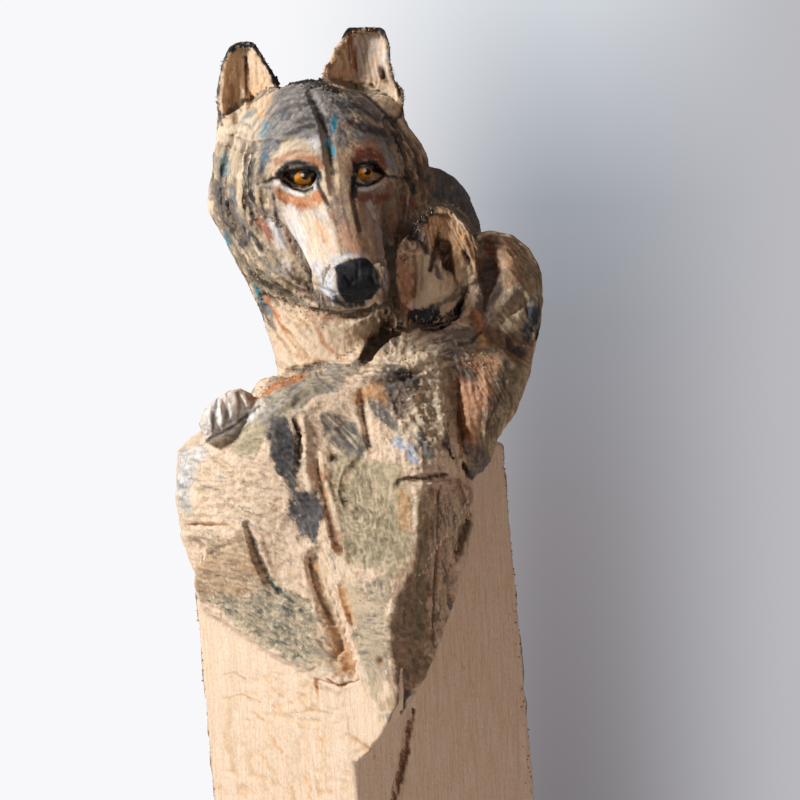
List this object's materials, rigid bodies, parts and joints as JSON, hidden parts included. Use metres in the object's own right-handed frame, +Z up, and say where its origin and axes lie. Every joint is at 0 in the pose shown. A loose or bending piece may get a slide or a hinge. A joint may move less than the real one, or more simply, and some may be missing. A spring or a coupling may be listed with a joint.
{
  "type": "carved wooden wolf pair sculpture",
  "caption": "Standing sculpture of a wolf leaning over the bowed head of another, carved out of the upper part of an upright quarter log that serves as its base.",
  "frame": {"origin": "on the flat sawn underside of the log, below the middle of its width, a little in front of the bark", "axes": "+Z up along the standing log, -Y towards the viewer and the log's front corner, +X to the viewer's right"},
  "size_m": [0.3771, 0.2753, 0.9313],
  "materials": {
    "limewood": "rough carved and sawn bare wood with thin matt paint on the fur"
  },
  "bodies": {
    "root": {"wolf_pair_carving": "limewood"}
  },
  "joints": []
}
